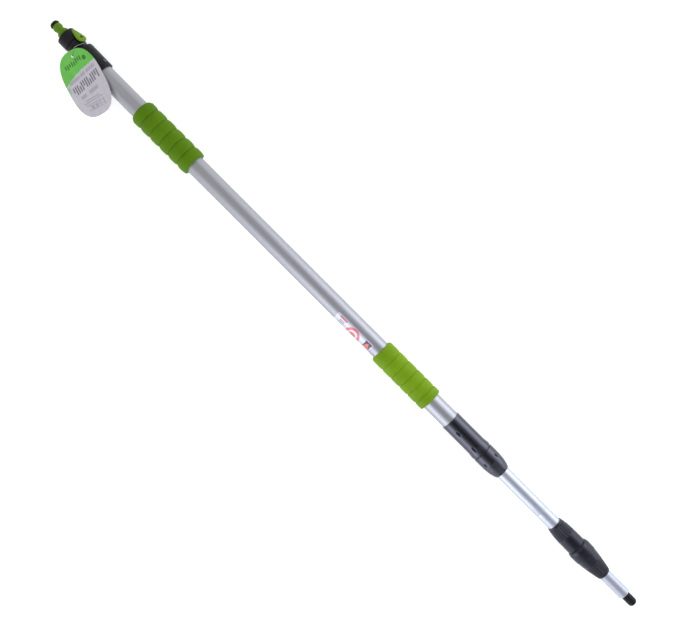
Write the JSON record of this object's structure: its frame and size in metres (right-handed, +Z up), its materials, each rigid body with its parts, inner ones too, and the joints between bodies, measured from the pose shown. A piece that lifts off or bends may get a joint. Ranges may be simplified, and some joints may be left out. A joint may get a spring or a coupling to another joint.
{
  "type": "telescopic wash brush pole",
  "caption": "Telescopic water-fed wash pole with aluminium tubes, twist locks, green grips, a valve lever, hose nipple, threaded brush tip and a hang tag.",
  "frame": {"origin": "on the floor, below the middle of the pole's length, midway across it", "axes": "+X along the pole's axis towards the threaded brush tip, +Z up; the valve lever faces up and towards +Y, the hang tag leans down to the floor on the -Y side"},
  "size_m": [1.2554, 0.0868, 0.0486],
  "materials": {
    "black_plastic": "moulded black nylon, fine satin grain",
    "lock_plastic": "moulded blue-black nylon, soft sheen",
    "green_plastic": "moulded leaf-green plastic, semi-gloss",
    "green_grip": "soft green grip moulding, satin",
    "anodised_aluminium": "satin silver anodised, drawn along the tube",
    "polished_aluminium": "bright drawn aluminium",
    "satin_aluminium": "pale satin anodised",
    "black_rubber": "black nitrile rubber",
    "white_acetal": "natural acetal",
    "chromed_ball": "chromed brass ball",
    "steel": "zinc-plated steel",
    "label_film": null,
    "card": "coated card, green over pale grey",
    "string": "thin off-white twisted string"
  },
  "bodies": {
    "main_section": {"hose_nipple": "green_plastic", "nipple_o_ring": "black_rubber", "nipple_washer": "black_rubber", "union_nut": "black_plastic", "valve_body": "black_plastic", "valve_seat_inlet": "white_acetal", "valve_seat_outlet": "white_acetal", "end_coupling": "black_plastic", "coupling_gasket": "black_rubber", "coupling_rivet": "steel", "outer_tube": "anodised_aluminium", "upper_grip": "green_grip", "lower_grip": "green_grip", "tube_label": "label_film", "lock1_sleeve": "lock_plastic", "lock1_seal": "black_rubber"},
    "valve_lever": {"valve_lever": "green_plastic", "lever_screw": "steel", "valve_stem": "steel", "stem_o_ring": "black_rubber", "valve_ball": "chromed_ball"},
    "lock1_press": {"lock1_collet": "white_acetal"},
    "lock1_collar": {"lock1_collar": "lock_plastic"},
    "middle_section": {"middle_tube": "polished_aluminium", "middle_tube_bush": "white_acetal", "middle_tube_o_ring": "black_rubber", "lock2_sleeve": "lock_plastic", "lock2_seal": "black_rubber"},
    "lock2_press": {"lock2_collet": "white_acetal"},
    "lock2_collar": {"lock2_collar": "lock_plastic"},
    "inner_section": {"inner_tube": "satin_aluminium", "inner_tube_plug": "white_acetal", "inner_tube_o_ring": "black_rubber", "tip_connector": "black_plastic", "tip_o_ring": "black_rubber"},
    "tag": {"hang_tag": "card", "tag_string": "string", "string_knot": "string"}
  },
  "joints": [
    {"name": "valve_lever_turn", "type": "hinge", "parent": "main_section", "child": "valve_lever", "pos_m": [-0.5783, 0, 0.0208], "axis": [0, 0.809, 0.5878], "range_deg": [0, 90]},
    {"name": "lock1_press", "type": "slide", "parent": "main_section", "child": "lock1_press", "axis": [1, 0, 0], "range_m": [0, 0.0015]},
    {"name": "lock1_twist", "type": "hinge", "parent": "lock1_press", "child": "lock1_collar", "pos_m": [0.321, 0, 0.0208], "axis": [1, 0, 0], "range_deg": [0, 180]},
    {"name": "middle_section_slide", "type": "slide", "parent": "main_section", "child": "middle_section", "axis": [1, 0, 0], "range_m": [0, 0.78]},
    {"name": "lock2_press", "type": "slide", "parent": "middle_section", "child": "lock2_press", "axis": [1, 0, 0], "range_m": [0, 0.0015]},
    {"name": "lock2_twist", "type": "hinge", "parent": "lock2_press", "child": "lock2_collar", "pos_m": [0.533, 0, 0.0208], "axis": [1, 0, 0], "range_deg": [0, 180]},
    {"name": "inner_section_slide", "type": "slide", "parent": "middle_section", "child": "inner_section", "axis": [1, 0, 0], "range_m": [0, 0.97]},
    {"name": "tag_swing", "type": "hinge", "parent": "main_section", "child": "tag", "pos_m": [-0.567, 0, 0.0208], "axis": [-1, 0, 0], "range_deg": [0, 45]}
  ],
  "couplings": [
    {"joint": "lock1_press", "follows": "lock1_twist", "m_per_rad": 0.000477},
    {"joint": "lock2_press", "follows": "lock2_twist", "m_per_rad": 0.000477}
  ]
}
